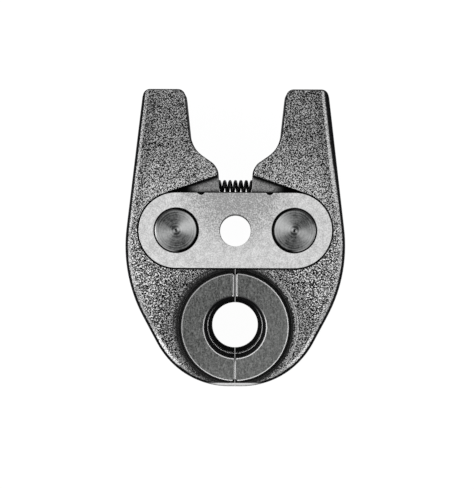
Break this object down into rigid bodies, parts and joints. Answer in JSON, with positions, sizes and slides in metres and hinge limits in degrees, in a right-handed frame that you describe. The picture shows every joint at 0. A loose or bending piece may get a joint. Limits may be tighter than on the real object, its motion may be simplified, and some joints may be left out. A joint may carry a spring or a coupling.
{
  "type": "press fitting tool jaw",
  "caption": "Press tongs jaw: forged levers pivot between cheek plates, close a split round press bore on a pipe fitting and spring shut by a small coil spring.",
  "frame": {"origin": "centre of the retaining bolt hole, half-way through the part's thickness", "axes": "+X from the left lever to the right one, +Y towards the prong tips, +Z out of the front face along the bolt hole"},
  "size_m": [0.0838, 0.1121, 0.033],
  "materials": {
    "forged_steel": "shot-blasted forging with machined faces",
    "plate_steel": "satin, finely ground",
    "pin_steel": "turned and hardened",
    "spring_steel": "black oxide wire",
    "ring_steel": "plain spring steel"
  },
  "bodies": {
    "cheeks": {"front_plate": "plate_steel", "rear_plate": "plate_steel", "left_pin": "pin_steel", "right_pin": "pin_steel", "left_front_snap_ring": "ring_steel", "left_rear_snap_ring": "ring_steel", "right_front_snap_ring": "ring_steel", "right_rear_snap_ring": "ring_steel", "closing_spring": "spring_steel"},
    "left_lever": {"left_jaw": "forged_steel"},
    "right_lever": {"right_jaw": "forged_steel"}
  },
  "joints": [
    {"name": "left_lever_pivot", "type": "hinge", "parent": "cheeks", "child": "left_lever", "pos_m": [-0.022, 0, 0], "axis": [0, 0, -1], "range_deg": [0, 17], "stiffness_Nm_per_rad": 7, "springref_deg": -3.44, "deforming": ["closing_spring"]},
    {"name": "right_lever_pivot", "type": "hinge", "parent": "cheeks", "child": "right_lever", "pos_m": [0.022, 0, 0], "axis": [0, 0, 1], "range_deg": [0, 17], "stiffness_Nm_per_rad": 7, "springref_deg": -3.44}
  ],
  "couplings": [
    {"joint": "right_lever_pivot", "follows": "left_lever_pivot", "ratio": 1}
  ]
}
